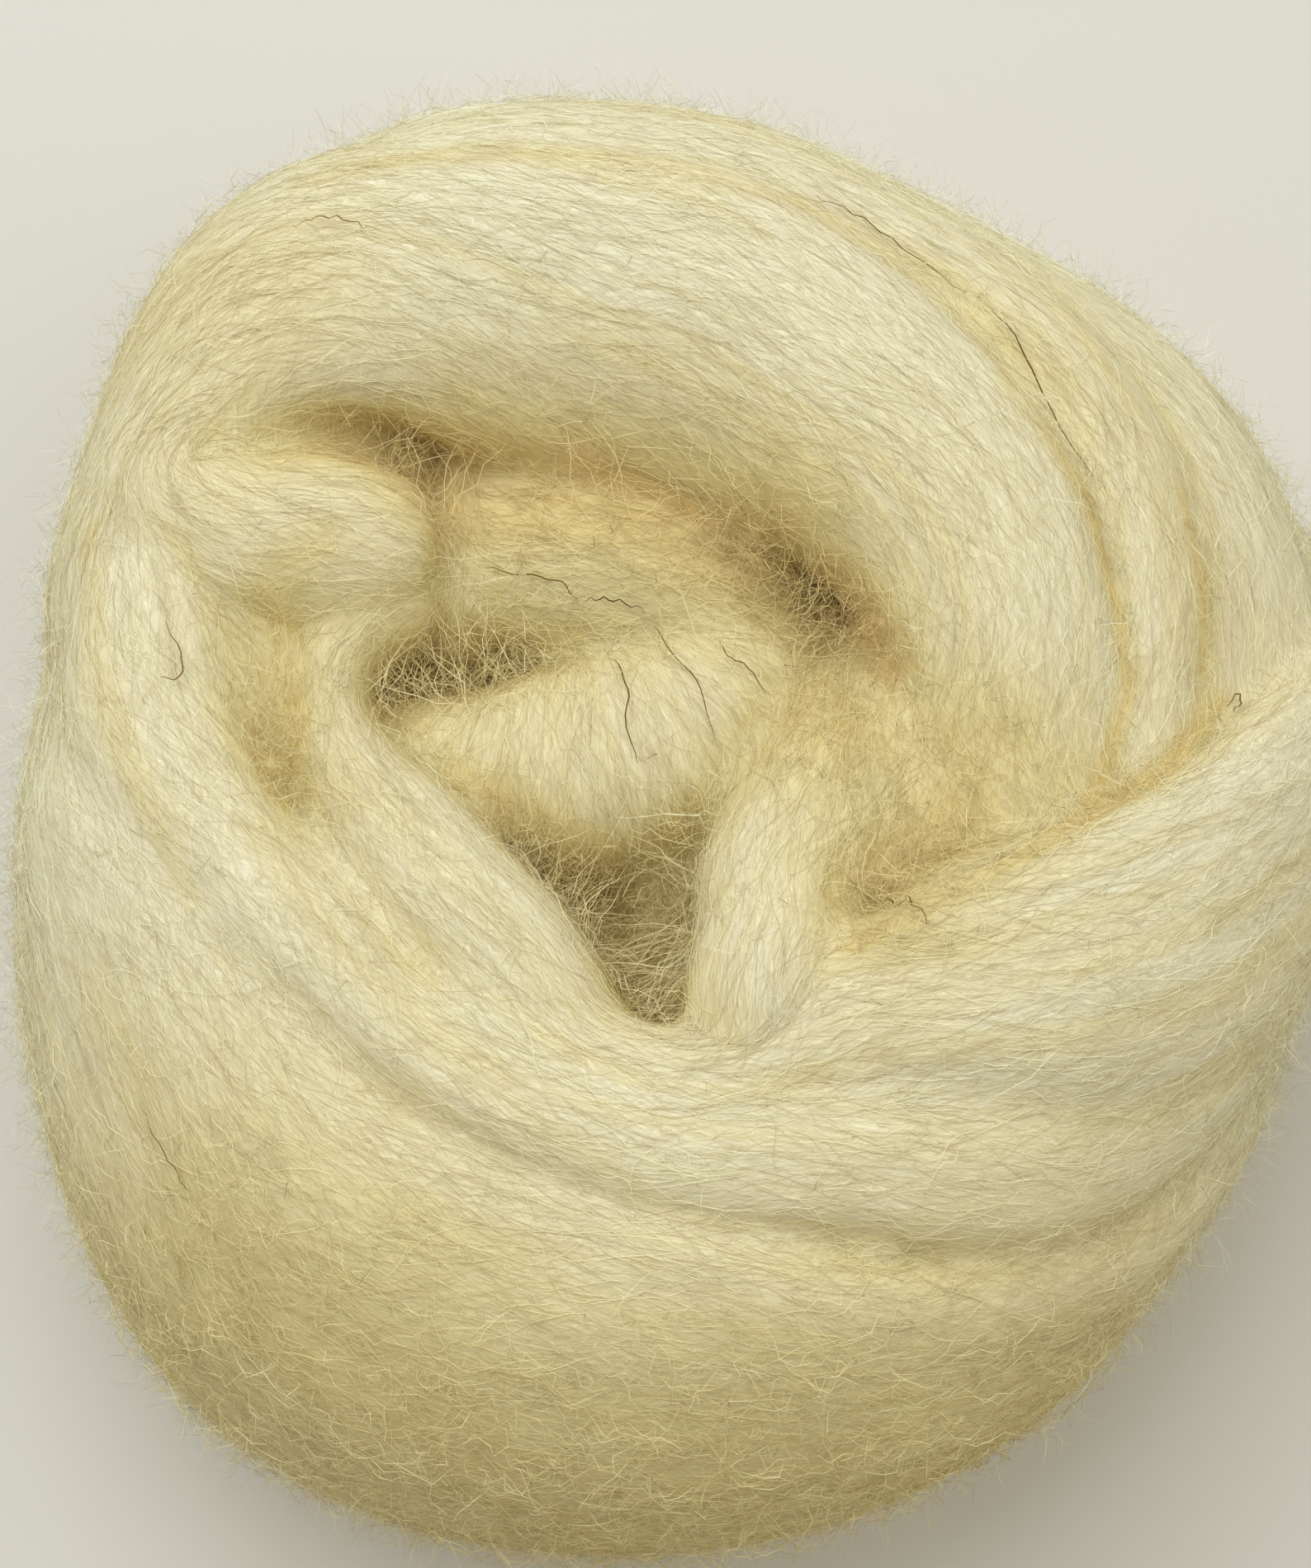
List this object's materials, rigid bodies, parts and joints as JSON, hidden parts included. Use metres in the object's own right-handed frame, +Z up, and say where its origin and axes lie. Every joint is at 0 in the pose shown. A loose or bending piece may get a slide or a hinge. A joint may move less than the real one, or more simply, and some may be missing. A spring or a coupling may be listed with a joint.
{
  "type": "wound nest of combed wool roving",
  "caption": "Thick soft strand of undyed combed wool wound into a round nest, with its end folded into the crater in the middle, for spinning and felting.",
  "frame": {"origin": "under the middle of the nest's box, on the surface that it rests on", "axes": "+Z up out of the crater, +Y along the nest's longer side, +X along its shorter side"},
  "size_m": [0.1704, 0.1866, 0.0793],
  "materials": {
    "wool": "undyed cream combed wool, matt and fluffy"
  },
  "bodies": {
    "root": {"roving_nest": "wool"}
  },
  "joints": []
}
